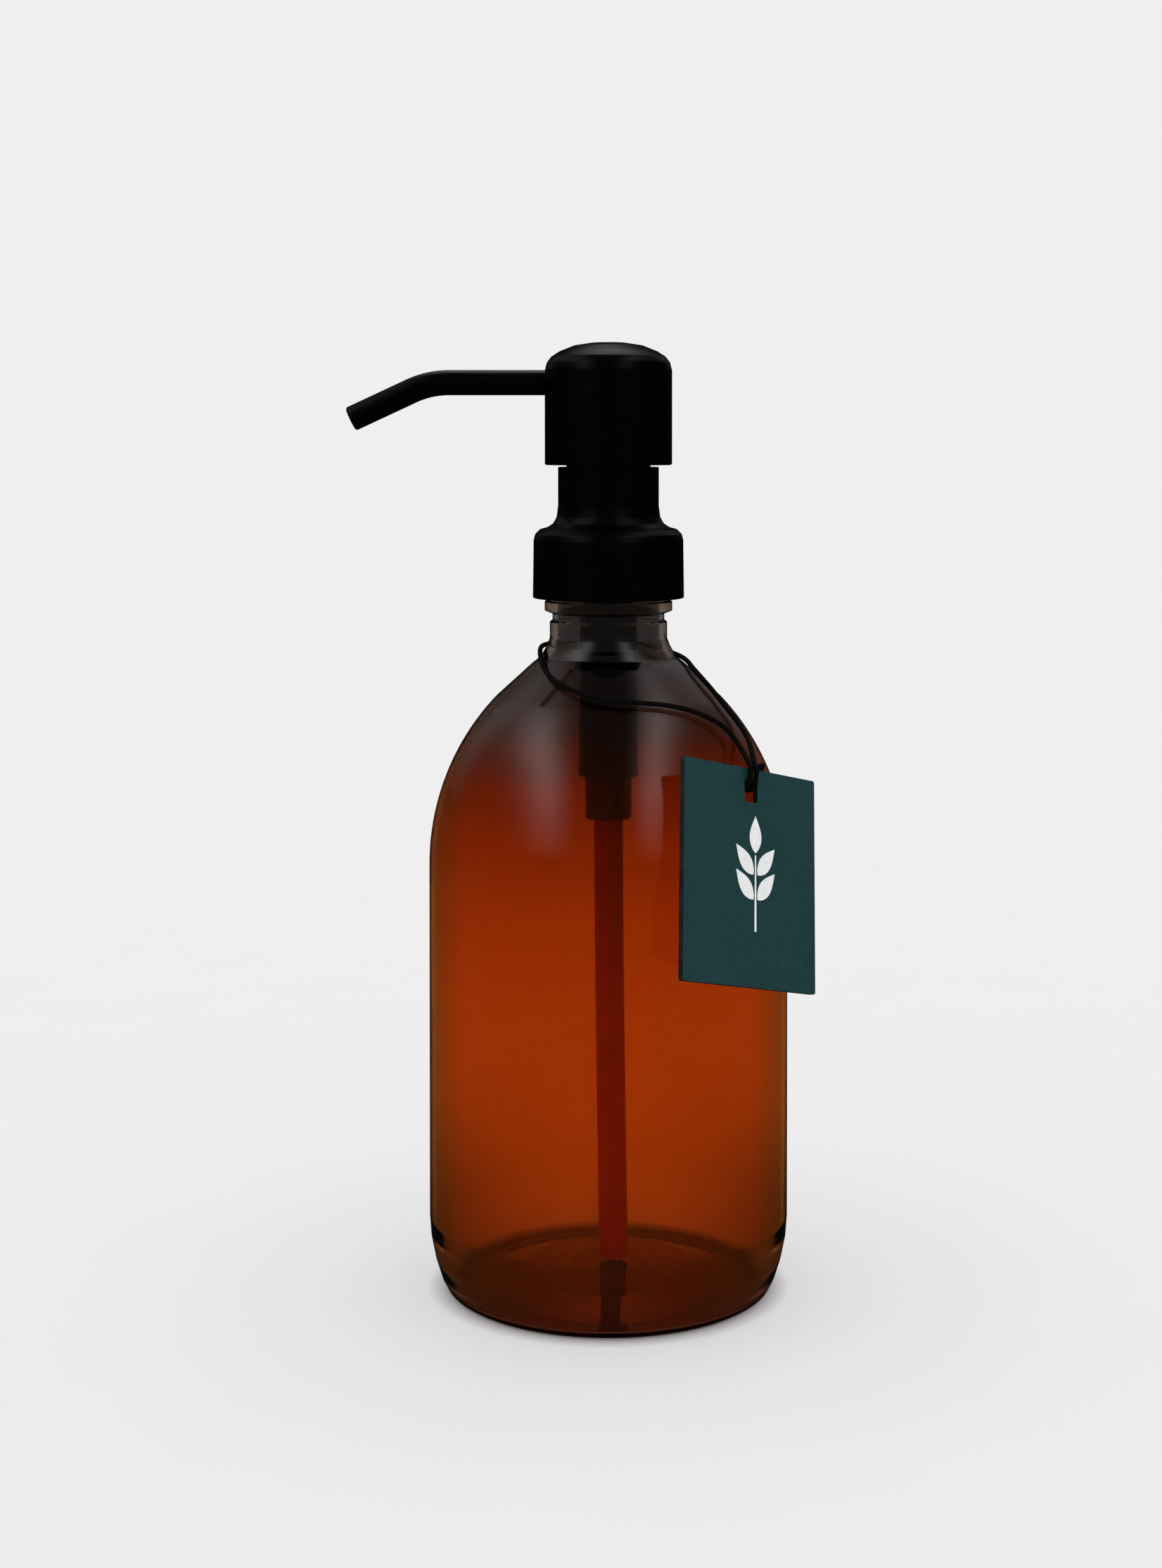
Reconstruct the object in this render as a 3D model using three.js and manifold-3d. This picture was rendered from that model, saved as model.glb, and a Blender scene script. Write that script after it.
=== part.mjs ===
// Refillable soap pump dispenser: a round-shouldered amber bottle, a screw-on metal pump and a hang tag
// on a thin elastic cord. Millimetres, +Z up. The bottle stands on z = 0; its axis is set off in +X so
// that the origin lies under the middle of the whole footprint, spout included.

import * as THREE from 'three';
import { mergeVertices } from 'three/addons/utils/BufferGeometryUtils.js';
import Module from 'manifold-3d';

const wasm = await Module();
wasm.setup();

// bottle
const AXIS_X = 8.65; // bottle and pump axis
const BODY_R = 36.6;
const WALL = 0.9;
const DOME_Z = 86.8; // where the straight body turns into the shoulder
const DOME_R = 49.4; // radius of the shoulder's arc
const DOME_END = THREE.MathUtils.degToRad(43.6);
const NECK_R = 12;
const NECK_BORE_R = 10.5;
const MOUTH_Z = 151.6;
const FINISH_R = 12.55; // neck wall between the threads
// thread, 6 turns to the inch
const THREAD_PITCH = 4.233;
const THREAD_TURNS = 1.5;
const THREAD_R = 13.7;
const THREAD_Z = 143.6;
// closure
const COLLAR_Z = 141;
const COLLAR_R = 15.45;
const SLEEVE_R = 10.3;
const SLEEVE_TOP_Z = 167.7;
// pump
const FLANGE_TOP_Z = 153.55;
const BARREL_BORE_R = 5.05;
const SEAT_Z = 106;
const STEM_R = 3.85;
const SPRING_BOTTOM_Z = 107.8;
const SPRING_TOP_Z = 129.2;
const TUBE_R = 2.95;
const TUBE_BORE_R = 2.2;
// head and spout
const HEAD_R = 13;
const HEAD_RIM_Z = 168.1;
const HEAD_TOP_Z = 193.2;
const SPOUT_Z = 184.9;
const SPOUT_R = 2.58;
const SPOUT_BORE_R = 1.8;
// hang tag: its own axes have the origin at the middle of the top edge, on the front face
const TAG_W = 37.8;
const TAG_H = 42.2;
const TAG_THICK = 1.3;
const TAG_ORIGIN = [28, -21.79, 108.76];
const TAG_AZIMUTH = THREE.MathUtils.degToRad(-44);
const TAG_LEAN = THREE.MathUtils.degToRad(11.53);
const TAG_ROLL = THREE.MathUtils.degToRad(13.12);
const CORD_R = 0.5;

const AROUND = 40; // sides of the bottle and closure
const AROUND_SMALL = 20;

const glossy = (color) => ({ color, roughness: 0.12, metalness: 0 });
const amber = { ...glossy(0x7a2c06), transparent: true, opacity: 0.6 };
const blackMetal = { color: 0x141414, roughness: 0.42, metalness: 0.9 };
const darkPlastic = { color: 0x1b1715, roughness: 0.5, metalness: 0 };
const whitePlastic = { color: 0xd9d6cf, roughness: 0.45, metalness: 0 };
const steel = { color: 0xb9bcbf, roughness: 0.25, metalness: 1 };

function piece(name, geometry, look) {
  const mesh = new THREE.Mesh(geometry, new THREE.MeshStandardMaterial(look));
  mesh.name = name;
  return mesh;
}

// A closed [radius, height] outline turned round the Z axis. The outline runs anticlockwise.
function turned(outline, sides) {
  const points = [...outline, outline[0]].map(([r, z]) => new THREE.Vector2(r, z));
  return new THREE.LatheGeometry(points, sides).rotateX(Math.PI / 2);
}

function arc(radius, centreR, centreZ, from, to, steps) {
  return Array.from({ length: steps + 1 }, (_, i) => {
    const a = from + ((to - from) * i) / steps;
    return [centreR + radius * Math.cos(a), centreZ + radius * Math.sin(a)];
  });
}

function route(points) {
  return new THREE.CatmullRomCurve3(points.map((p) => new THREE.Vector3(...p)), false, 'centripetal');
}

function round(radius, sides, bore = 0) {
  const ring = (r) =>
    Array.from({ length: sides }, (_, i) => {
      const a = (2 * Math.PI * i) / sides;
      return new THREE.Vector2(r * Math.cos(a), r * Math.sin(a));
    });
  const shape = new THREE.Shape(ring(radius));
  if (bore > 0) shape.holes.push(new THREE.Path(ring(bore)));
  return shape;
}

function swept(shape, path, steps) {
  return new THREE.ExtrudeGeometry(shape, { steps, extrudePath: path });
}

function solid(geometry) {
  const bare = geometry.clone();
  bare.deleteAttribute('normal');
  bare.deleteAttribute('uv');
  const merged = mergeVertices(bare, 1e-4);
  const index = merged.index.array;
  const kept = [];
  for (let i = 0; i < index.length; i += 3) {
    const [a, b, c] = [index[i], index[i + 1], index[i + 2]];
    if (a !== b && b !== c && a !== c) kept.push(a, b, c);
  }
  const vertProperties = new Float32Array(merged.attributes.position.array);
  return new wasm.Manifold(new wasm.Mesh({ numProp: 3, vertProperties, triVerts: new Uint32Array(kept) }));
}

function toGeometry(manifold) {
  const mesh = manifold.getMesh();
  const geometry = new THREE.BufferGeometry();
  geometry.setAttribute('position', new THREE.BufferAttribute(new Float32Array(mesh.vertProperties), 3));
  geometry.setIndex(new THREE.BufferAttribute(new Uint32Array(mesh.triVerts), 1));
  geometry.computeVertexNormals();
  return geometry;
}

function drill(radius, length, sides = 20) {
  return new THREE.CylinderGeometry(radius, radius, length, sides);
}

// A helical ridge: a straight bar whose section is [base radius, base width] to [crest radius, crest
// width], wound round the Z axis at the thread's pitch. Its crest sinks to the base at both ends.
function ridge(baseR, baseWidth, crestR, crestWidth, zeroZ, firstTurn, turns) {
  const section = new THREE.Shape([
    new THREE.Vector2(baseR, -baseWidth / 2),
    new THREE.Vector2(crestR, -crestWidth / 2),
    new THREE.Vector2(crestR, crestWidth / 2),
    new THREE.Vector2(baseR, baseWidth / 2),
  ]);
  const steps = Math.round(turns * 20);
  const bar = new THREE.ExtrudeGeometry(section, { depth: turns, steps, bevelEnabled: false });
  const at = bar.attributes.position;
  for (let i = 0; i < at.count; i += 1) {
    const turn = at.getZ(i);
    const fade = Math.min(1, 0.12 + turn / 0.1, 0.12 + (turns - turn) / 0.1);
    const r = baseR + (at.getX(i) - baseR) * fade;
    const wound = firstTurn + turn;
    const angle = wound * 2 * Math.PI;
    at.setXYZ(i, r * Math.cos(angle), r * Math.sin(angle), zeroZ - at.getY(i) + wound * THREAD_PITCH);
  }
  return bar;
}

function bottle() {
  const outline = [
    [6.5, 3.7], [7.4, 3.2], [16.4, 2.9], [26.5, 0],
    [31.8, 0], [33.1, 0.8], [34.2, 2.9], [35.4, 6.6], [36.3, 11], [BODY_R, 15],
    ...arc(DOME_R, BODY_R - DOME_R, DOME_Z, 0, DOME_END, 6),
    [15.7, 127.5], [13.85, 129], [12.6, 131.2], [NECK_R, 132.8],
    [NECK_R, 136.1], [11.45, 136.5], [11.45, 137.8], [13.05, 138.4], [13.05, 140.2], [FINISH_R, 140.6],
    [FINISH_R, 151.1], [12.1, MOUTH_Z], [10.9, MOUTH_Z], [NECK_BORE_R, 151.2],
    [NECK_BORE_R, 133.5], [11.2, 130.6], [12.8, 128.4], [15.1, 126.7],
    ...arc(DOME_R - WALL, BODY_R - DOME_R, DOME_Z, DOME_END, 0, 6),
    [BODY_R - WALL, 15], [34.5, 6.8], [32.6, 1.7], [31, 0.95], [26.8, 0.95],
    [16.8, 3.8], [7, 4.6], [0, 4.6], [0, 3.7],
  ];
  const body = solid(turned(outline, AROUND));
  const thread = solid(ridge(FINISH_R - 0.5, 2.9, THREAD_R, 1.2, THREAD_Z, 0, THREAD_TURNS));
  return piece('bottle', toGeometry(body.add(thread)), amber);
}

function closureShell() {
  const outline = [
    [14.95, COLLAR_Z], [COLLAR_R, COLLAR_Z], [15.3, 152.8], [15, 154], [14, 155],
    [12.5, 155.4], [11.3, 156.2], [10.6, 157.5], [SLEEVE_R, 159.8], [SLEEVE_R, SLEEVE_TOP_Z],
    [9.8, SLEEVE_TOP_Z], [9.8, 159.7], [10.1, 157.3], [10.95, 155.8], [12.3, 154.85],
    [13.8, 154.45], [14.6, 153.5], [14.8, 152.7],
  ];
  return piece('closure_shell', turned(outline, AROUND), blackMetal);
}

function closureInsert() {
  const outline = [
    [13.95, 141.3], [14.6, 141.3], [14.6, 152.5], [14.1, 153.6], [13.2, 154.3], [10.3, 154.3],
    [10.3, 153.7], [13.95, 153.7],
  ];
  const ring = solid(turned(outline, AROUND));
  const thread = solid(ridge(14.3, 2, 13, 1, THREAD_Z - THREAD_PITCH / 2, 0.6, 1.3));
  return piece('closure_insert', toGeometry(ring.add(thread)), darkPlastic);
}

function neckGasket() {
  const outline = [[10.7, 151.7], [12.3, 151.7], [12.3, 152.4], [10.7, 152.4]];
  return piece('neck_gasket', turned(outline, 32), whitePlastic);
}

function pumpHousing() {
  const outline = [
    [3.1, 95.8], [4.75, 95.8], [4.75, 104.4], [6.1, 104.5], [6.15, 105.3], [6, 107.4], [6, 116.8],
    [5.85, 117.2], [5.85, 152.5], [12.3, 152.5], [12.3, FLANGE_TOP_Z], [BARREL_BORE_R, FLANGE_TOP_Z],
    [BARREL_BORE_R, SEAT_Z], [3, SEAT_Z], [1.6, SEAT_Z - 1.4], [1.6, 103.1], [3.1, 103.1],
  ];
  return piece('pump_housing', turned(outline, AROUND_SMALL), darkPlastic);
}

function guideBush() {
  const outline = [
    [4.15, 146], [4.9, 146], [4.9, 153.65], [9.55, 153.65], [9.55, 167.3], [8.6, 167.3],
    [8.6, 168.8], [7.9, 168.8], [7.9, 155.2], [5.2, 155.2], [5.2, 157.5], [4.15, 157.5],
  ];
  return piece('guide_bush', turned(outline, 32), darkPlastic);
}

function valveCage() {
  const outline = [
    [2.8, SEAT_Z + 0.15], [4.9, SEAT_Z + 0.15], [4.9, SEAT_Z + 1.2], [3.4, SEAT_Z + 1.2], [3.4, 111.6],
    [1.3, 111.6], [1.3, 110.9], [2.8, 110.9],
  ];
  return piece('valve_cage', turned(outline, AROUND_SMALL), whitePlastic);
}

function ball(name, radius, z) {
  return piece(name, new THREE.IcosahedronGeometry(radius, 2).translate(0, 0, z), steel);
}

class Coil extends THREE.Curve {
  constructor(radius, bottom, top, turns) {
    super();
    Object.assign(this, { radius, bottom, top, turns });
  }

  getPoint(t) {
    const a = t * this.turns * 2 * Math.PI;
    const z = this.bottom + (this.top - this.bottom) * t;
    return new THREE.Vector3(this.radius * Math.cos(a), this.radius * Math.sin(a), z);
  }
}

function returnSpring() {
  const path = new Coil(4.15, SPRING_BOTTOM_Z, SPRING_TOP_Z, 5.5);
  return piece('return_spring', swept(round(0.42, 6), path, 66), steel);
}

function pistonSeal() {
  const outline = [
    [3.05, 129.9], [4.6, 129.8], [4.97, 130], [4.97, 130.8], [4.5, 131.4], [4.5, 133.3], [4.97, 134],
    [4.97, 134.8], [3.05, 134.8],
  ];
  return piece('piston_seal', turned(outline, AROUND_SMALL), whitePlastic);
}

function pumpStem() {
  const outline = [
    [2.2, 129], [3.35, 129], [3.35, 129.6], [2.9, 129.75], [2.9, 135], [STEM_R, 135.1], [STEM_R, 181.8],
    [2.6, 181.8], [2.6, 175.3], [1.3, 174], [1.3, 171.6], [2.2, 170.7],
  ];
  return piece('pump_stem', turned(outline, AROUND_SMALL), darkPlastic);
}

function dipTube() {
  const path = route([[0, 0, 5.6], [0, 0, 34], [0, 0, 66], [0, 0, 93], [0, 0, 102.8]].map(
    ([, y, z]) => [1.05 * Math.max(0, (95 - z) / 89.4) ** 1.4, y, z],
  ));
  return piece('dip_tube', swept(round(TUBE_R, 12, TUBE_BORE_R), path, 10), whitePlastic);
}

function actuatorCore() {
  const outline = [
    [0, 171], [5.4, 171], [5.4, 178.4], [6, 178.9], [12.1, 178.9], [12.1, 187], [11.4, 188.6],
    [10.4, 189.2], [0, 189.2],
  ];
  const socket = drill(STEM_R + 0.15, 14, AROUND_SMALL).rotateX(Math.PI / 2).translate(0, 0, 175);
  const riser = drill(1.5, 6).rotateX(Math.PI / 2).translate(0, 0, 184);
  const channel = drill(1.5, 8).rotateZ(Math.PI / 2).translate(-3, 0, SPOUT_Z);
  const spoutSeat = drill(SPOUT_R + 0.12, 12).rotateZ(Math.PI / 2).translate(-11.3, 0, SPOUT_Z);
  let core = solid(turned(outline, 32));
  for (const cut of [socket, riser, channel, spoutSeat]) {
    core = core.subtract(solid(cut));
  }
  return piece('actuator_core', toGeometry(core), darkPlastic);
}

function headShell() {
  const outline = [
    [12.4, HEAD_RIM_Z], [12.8, HEAD_RIM_Z], [HEAD_R, 168.4], [HEAD_R, 187.4], [12.6, 189], [11.7, 190.2],
    [10, 191.3], [7, 192.5], [3.5, 193.05], [0, HEAD_TOP_Z], [0, HEAD_TOP_Z - 0.6], [3.4, 192.45],
    [6.8, 191.9], [9.6, 190.8], [11.2, 189.8], [12, 188.8], [12.4, 187.3],
  ];
  const hole = drill(SPOUT_R + 0.15, 8).rotateZ(Math.PI / 2).translate(-13, 0, SPOUT_Z);
  return piece('head_shell', toGeometry(solid(turned(outline, AROUND)).subtract(solid(hole))), blackMetal);
}

function spoutTube() {
  const bendR = 18;
  const droop = THREE.MathUtils.degToRad(25);
  const bend = [0.2, 0.4, 0.6, 0.8, 1].map((t) => [
    -32.6 - bendR * Math.sin(droop * t), 0, SPOUT_Z - bendR * (1 - Math.cos(droop * t)),
  ]);
  const path = route([
    [-5.6, 0, SPOUT_Z], [-14, 0, SPOUT_Z], [-23, 0, SPOUT_Z], [-32.6, 0, SPOUT_Z], ...bend,
    [-46.5, 0, 180.25], [-52.6, 0, 177.4],
  ]);
  return piece('spout_tube', swept(round(SPOUT_R, 14, SPOUT_BORE_R), path, 16), blackMetal);
}

function hangTag() {
  const board = new THREE.Shape();
  const [half, edge] = [TAG_W / 2, 0.4];
  board.moveTo(-half + edge, 0);
  board.lineTo(-half, -edge);
  board.lineTo(-half, -TAG_H + edge);
  board.lineTo(-half + edge, -TAG_H);
  board.lineTo(half - edge, -TAG_H);
  board.lineTo(half, -TAG_H + edge);
  board.lineTo(half, -edge);
  board.lineTo(half - edge, 0);
  const slot = [[-1.85, -2.4], [1.85, -2.4], [1.85, -6.55], [-1.85, -6.55]];
  board.holes.push(new THREE.Path(slot.map(([x, y]) => new THREE.Vector2(x, y))));
  const geometry = new THREE.ExtrudeGeometry(board, { depth: TAG_THICK, bevelEnabled: false });
  return piece('hang_tag', geometry.translate(0, 0, -TAG_THICK), { color: 0x2c4b4e, roughness: 0.8 });
}

const LEFT_TAIL = [[-1.1, -3.7, -1.87], [0.1, -2.8, -1.95], [1.7, -1.5, -2.05], [3, -0.5, -2.2]];
const RIGHT_TAIL = [[0.9, -3.9, -1.87], [2, -3.2, -1.95], [3.2, -2.3, -2.05], [4.2, -1.2, -2.2]];
const cordLook = { color: 0x0b0b0b, roughness: 0.85, metalness: 0 };

// The cord's loop round the neck, lying on the shoulder, from the tag's edge and back to it.
function cordLoop() {
  const path = route([
    [28.65, -20.9, 109.95], [28.5, -19.5, 110.4], [28.2, -15.5, 112.35], [27.3, -11.9, 114.5],
    [25.4, -9.8, 117.2], [23.15, -9, 120.05], [20.9, -7.2, 122.8], [19.1, -5.6, 124.8],
    [17.4, -3.4, 126.6], [15.95, 0.6, 128.1], [13.6, 6.9, 128.95], [9.6, 11.1, 129.8],
    [3.6, 13.9, 130.5], [-3.6, 13.75, 130.85], [-9.3, 10.6, 131], [-12.7, 5.6, 131],
    [-13.85, -0.8, 130.65], [-13.6, -7.1, 128.9], [-12.6, -12.25, 127.1], [-10.15, -16.8, 125.25],
    [-7.15, -19.75, 124], [-4.2, -21.5, 123.15], [-0.2, -22.65, 122.5], [5.4, -22.75, 121.85],
    [11.15, -21.25, 121.2], [15.85, -19.45, 120.05], [19.95, -17.5, 118.25], [22.9, -16.3, 116.3],
    [25.05, -16.4, 113.95], [26.5, -18.8, 111.75], [27.3, -21.9, 110.35],
  ]);
  return piece('cord_loop', swept(round(CORD_R, 8), path, 64), cordLook);
}

// One end of the cord, over the tag's edge, in through the slot and up behind, in the tag's own axes.
function cordEnd(name, x, tail) {
  const path = route([
    [x, 0.85, 0.5], [x, 0, 0.95], [x, -1.4, 0.85], [x, -3, 0.45], [x + 0.1, -4, -0.6],
    ...tail,
  ]);
  return piece(name, swept(round(CORD_R, 8), path, 16), cordLook);
}

function cordKnot() {
  const knot = new THREE.IcosahedronGeometry(1.5, 2).scale(1.2, 0.85, 0.85).translate(4.9, 0.75, -2.6);
  return piece('cord_knot', knot, cordLook);
}

// Everything that swings with the tag, placed against the bottle.
function tagGroup() {
  const rolled = new THREE.Group();
  rolled.rotation.z = -TAG_ROLL;
  rolled.add(
    hangTag(),
    cordEnd('cord_end_left', -1.25, LEFT_TAIL),
    cordEnd('cord_end_right', 0.45, RIGHT_TAIL),
    cordKnot(),
  );
  const leaning = new THREE.Group();
  leaning.rotation.x = Math.PI / 2 - TAG_LEAN;
  leaning.add(rolled);
  const facing = new THREE.Group();
  facing.rotation.z = TAG_AZIMUTH + Math.PI / 2;
  facing.position.set(...TAG_ORIGIN);
  facing.add(leaning);
  return facing;
}

const group = new THREE.Group();
group.position.x = AXIS_X;
group.add(
  bottle(),
  closureShell(),
  closureInsert(),
  neckGasket(),
  pumpHousing(),
  guideBush(),
  valveCage(),
  ball('inlet_ball', 2.3, SEAT_Z + 0.45),
  returnSpring(),
  pistonSeal(),
  pumpStem(),
  ball('outlet_ball', 1.9, 175.55),
  dipTube(),
  actuatorCore(),
  headShell(),
  spoutTube(),
  cordLoop(),
  tagGroup(),
);

export default group;
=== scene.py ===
"""Looks for the soap pump dispenser: amber bottle, matt black pump, hang tag on an elastic cord."""
import math

import bmesh
import bpy
from mathutils import Matrix, Vector


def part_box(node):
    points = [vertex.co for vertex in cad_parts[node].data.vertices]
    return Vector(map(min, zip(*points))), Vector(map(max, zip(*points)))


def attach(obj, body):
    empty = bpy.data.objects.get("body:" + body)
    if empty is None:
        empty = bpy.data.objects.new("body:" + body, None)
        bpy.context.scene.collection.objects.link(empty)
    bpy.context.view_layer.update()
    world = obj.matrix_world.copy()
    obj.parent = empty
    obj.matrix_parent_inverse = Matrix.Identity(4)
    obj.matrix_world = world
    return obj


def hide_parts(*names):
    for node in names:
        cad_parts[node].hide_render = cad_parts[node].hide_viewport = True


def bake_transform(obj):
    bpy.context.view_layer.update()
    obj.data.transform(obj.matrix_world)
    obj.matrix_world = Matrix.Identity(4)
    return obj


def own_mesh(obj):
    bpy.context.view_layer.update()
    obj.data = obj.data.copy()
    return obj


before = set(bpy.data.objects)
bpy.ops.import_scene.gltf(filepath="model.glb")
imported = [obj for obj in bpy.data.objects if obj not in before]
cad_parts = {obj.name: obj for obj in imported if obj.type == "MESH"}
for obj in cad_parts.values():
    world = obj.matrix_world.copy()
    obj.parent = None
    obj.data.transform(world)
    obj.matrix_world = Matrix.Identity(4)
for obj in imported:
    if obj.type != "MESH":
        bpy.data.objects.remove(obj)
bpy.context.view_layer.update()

# The camera is placed in metres. Outlines and routes are in millimetres, and MM turns them into metres.
MM = 0.001
TINY = 1e-6
BOTTLE_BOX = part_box("bottle")
AXIS_X = (BOTTLE_BOX[0].x + BOTTLE_BOX[1].x) / 2
AXIS = Vector((AXIS_X, 0, 0))
THREAD_PITCH = 4.233
THREAD_TURNS = 1.5

# ---------------------------------------------------------------- camera

EYE_HEIGHT = 0.1729
EYE_DISTANCE = 0.5
EYE_PITCH = math.radians(1.25)
LENS, SENSOR = 56.18, 36
SHIFT_ACROSS, SHIFT_DOWN = -0.0175, -0.1844


def make_camera():
    """At the height of the pump's head and nearly level. The frame is shifted down to the bottle."""
    data = bpy.data.cameras.new("camera")
    data.sensor_width = SENSOR
    data.lens = LENS
    data.shift_x, data.shift_y = SHIFT_ACROSS, SHIFT_DOWN
    camera = bpy.data.objects.new("camera", data)
    camera.location = (AXIS_X, -EYE_DISTANCE, EYE_HEIGHT)
    camera.rotation_euler = (math.pi / 2 - EYE_PITCH, 0, 0)
    bpy.context.scene.collection.objects.link(camera)
    bpy.context.scene.camera = camera


# ---------------------------------------------------------------- mesh helpers


def linked(name, mesh, look):
    """The mesh as an object of the scene, with one material."""
    mesh.materials.append(look)
    made = bpy.data.objects.new(name, mesh)
    bpy.context.scene.collection.objects.link(made)
    return made


def new_object(name, verts, faces, look, smooth=35):
    mesh = bpy.data.meshes.new(name)
    mesh.from_pydata([tuple(v) for v in verts], [], faces)
    mesh.validate()
    mesh.shade_smooth()
    mesh.set_sharp_from_angle(angle=math.radians(smooth))
    return linked(name, mesh, look)


FILLET_STEP = math.radians(11)


def filleted(corners):
    """A dense [radius, height] outline from (radius, height, fillet) corners."""
    out = []
    count = len(corners)
    for i, (r, z, fillet) in enumerate(corners):
        here = Vector((r, z))
        if fillet <= 0:
            out.append(here)
            continue
        before = Vector(corners[i - 1][:2]) - here
        after = Vector(corners[(i + 1) % count][:2]) - here
        angle = before.angle(after)
        reach = min(fillet / math.tan(angle / 2), before.length * 0.49, after.length * 0.49)
        radius = reach * math.tan(angle / 2)
        start = here + before.normalized() * reach
        end = here + after.normalized() * reach
        inward = (before.normalized() + after.normalized()).normalized()
        centre = here + inward * math.hypot(reach, radius)
        turn = math.pi - angle
        steps = max(2, round(turn / FILLET_STEP))
        a, b = start - centre, end - centre
        for k in range(steps + 1):
            t = k / steps
            w = (a * math.sin((1 - t) * turn) + b * math.sin(t * turn)) / math.sin(turn)
            out.append(centre + w)
    return out


def arc(radius, centre_r, centre_z, first, last, steps):
    """Unfilleted outline corners on an arc between two angles."""
    return [
        (
            centre_r + radius * math.cos(first + (last - first) * i / steps),
            centre_z + radius * math.sin(first + (last - first) * i / steps),
            0,
        )
        for i in range(steps + 1)
    ]


def turned(name, corners, look, sides=96, smooth=35):
    """A closed anticlockwise outline turned round the bottle's axis."""
    outline = filleted(corners)
    verts, rings = [], []
    for r, z in outline:
        if r < TINY:
            rings.append([len(verts)] * sides)
            verts.append((AXIS_X, 0, z * MM))
            continue
        rings.append(list(range(len(verts), len(verts) + sides)))
        for k in range(sides):
            a = 2 * math.pi * k / sides
            verts.append((AXIS_X + r * MM * math.cos(a), r * MM * math.sin(a), z * MM))
    faces = []
    for i, low in enumerate(rings):
        high = rings[(i + 1) % len(rings)]
        for k in range(sides):
            n = (k + 1) % sides
            corner = [low[k], low[n], high[n], high[k]]
            face = [v for j, v in enumerate(corner) if v not in corner[:j]]
            if len(face) > 2:
                faces.append(face)
    return new_object(name, verts, faces, look, smooth)


def spline(points, per_span):
    """Centripetal Catmull-Rom through the points, as the cord's and tubes' routes are drawn."""
    pts = [Vector(p) for p in points]
    pts = [pts[0] * 2 - pts[1]] + pts + [pts[-1] * 2 - pts[-2]]
    out = []
    for i in range(1, len(pts) - 2):
        p0, p1, p2, p3 = pts[i - 1 : i + 3]
        t1 = (p1 - p0).length ** 0.5
        t2 = t1 + (p2 - p1).length ** 0.5
        t3 = t2 + (p3 - p2).length ** 0.5
        for k in range(per_span):
            t = t1 + (t2 - t1) * k / per_span
            a1 = p0.lerp(p1, t / t1)
            a2 = p1.lerp(p2, (t - t1) / (t2 - t1))
            a3 = p2.lerp(p3, (t - t2) / (t3 - t2))
            b1 = a1.lerp(a2, t / t2)
            b2 = a2.lerp(a3, (t - t1) / (t3 - t1))
            out.append(b1.lerp(b2, (t - t1) / (t2 - t1)))
    out.append(pts[-2])
    return out


def tube(name, path, sections, look, sides=16, smooth=60, closed=False, squares=1.0):
    """Sweeps rings along the path. sections gives (path index, radius, shift along the path) per ring,
    so that a bore, a lip or a rounded end is a matter of rings. In the UV map u runs once round the ring
    and v is the length along the path times squares."""
    count = len(path)
    tangents = []
    for i in range(count):
        a = path[(i - 1) % count] if closed else path[max(i - 1, 0)]
        b = path[(i + 1) % count] if closed else path[min(i + 1, count - 1)]
        tangents.append((b - a).normalized())
    side = tangents[0].orthogonal().normalized()
    frames, travelled, run = [], [], 0.0
    for i, t in enumerate(tangents):
        side = (side - t * side.dot(t)).normalized()
        frames.append((side.copy(), t.cross(side)))
        if i:
            run += (path[i] - path[i - 1]).length
        travelled.append(run)
    verts, faces, uvs = [], [], []
    for index, radius, shift in sections:
        u, v = frames[index]
        for k in range(sides):
            a = 2 * math.pi * k / sides
            spoke = u * math.cos(a) + v * math.sin(a)
            verts.append(path[index] + tangents[index] * shift + spoke * radius)
    rings = len(sections)
    whole_round = run + (path[0] - path[-1]).length
    for i in range(rings if closed else rings - 1):
        j = (i + 1) % rings
        v0 = travelled[sections[i][0]] * squares
        v1 = (travelled[sections[j][0]] if j > i else whole_round) * squares
        for k in range(sides):
            n = (k + 1) % sides
            faces.append((i * sides + k, i * sides + n, j * sides + n, j * sides + k))
            uvs += [(k / sides, v0), ((k + 1) / sides, v0), ((k + 1) / sides, v1), (k / sides, v1)]
    if not closed:
        for base, order in ((0, -1), ((rings - 1) * sides, 1)):
            ring = list(range(base, base + sides))[::order]
            faces.append(ring)
            uvs += [(0, 0)] * sides
    made = new_object(name, verts, faces, look, smooth)
    layer = made.data.uv_layers.new(name="along")
    if len(layer.data) == len(uvs):
        for loop, uv in zip(layer.data, uvs):
            loop.uv = uv
    return made


def solid_sections(count, radius, lip):
    """Rings of a solid cord with slightly rounded ends."""
    rings = [(0, radius - lip, 0), (0, radius, lip)]
    rings += [(i, radius, 0) for i in range(1, count - 1)]
    return rings + [(count - 1, radius, -lip), (count - 1, radius - lip, 0)]


def bored_sections(count, radius, bore, lip):
    """Rings of an open tube: down the outside, over the far lip, and back up the bore."""
    rings = [(0, radius, 0)]
    rings += [(i, radius, 0) for i in range(1, count - 1)]
    last = count - 1
    shoulder = lip * 0.35
    rings += [(last, radius, -lip), (last, radius - shoulder, -shoulder), (last, radius - lip, 0)]
    rings += [(last, bore + lip * 0.6, 0), (last, bore, -lip * 0.8)]
    rings += [(i, bore, 0) for i in range(count - 2, -1, -1)]
    return rings


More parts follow.
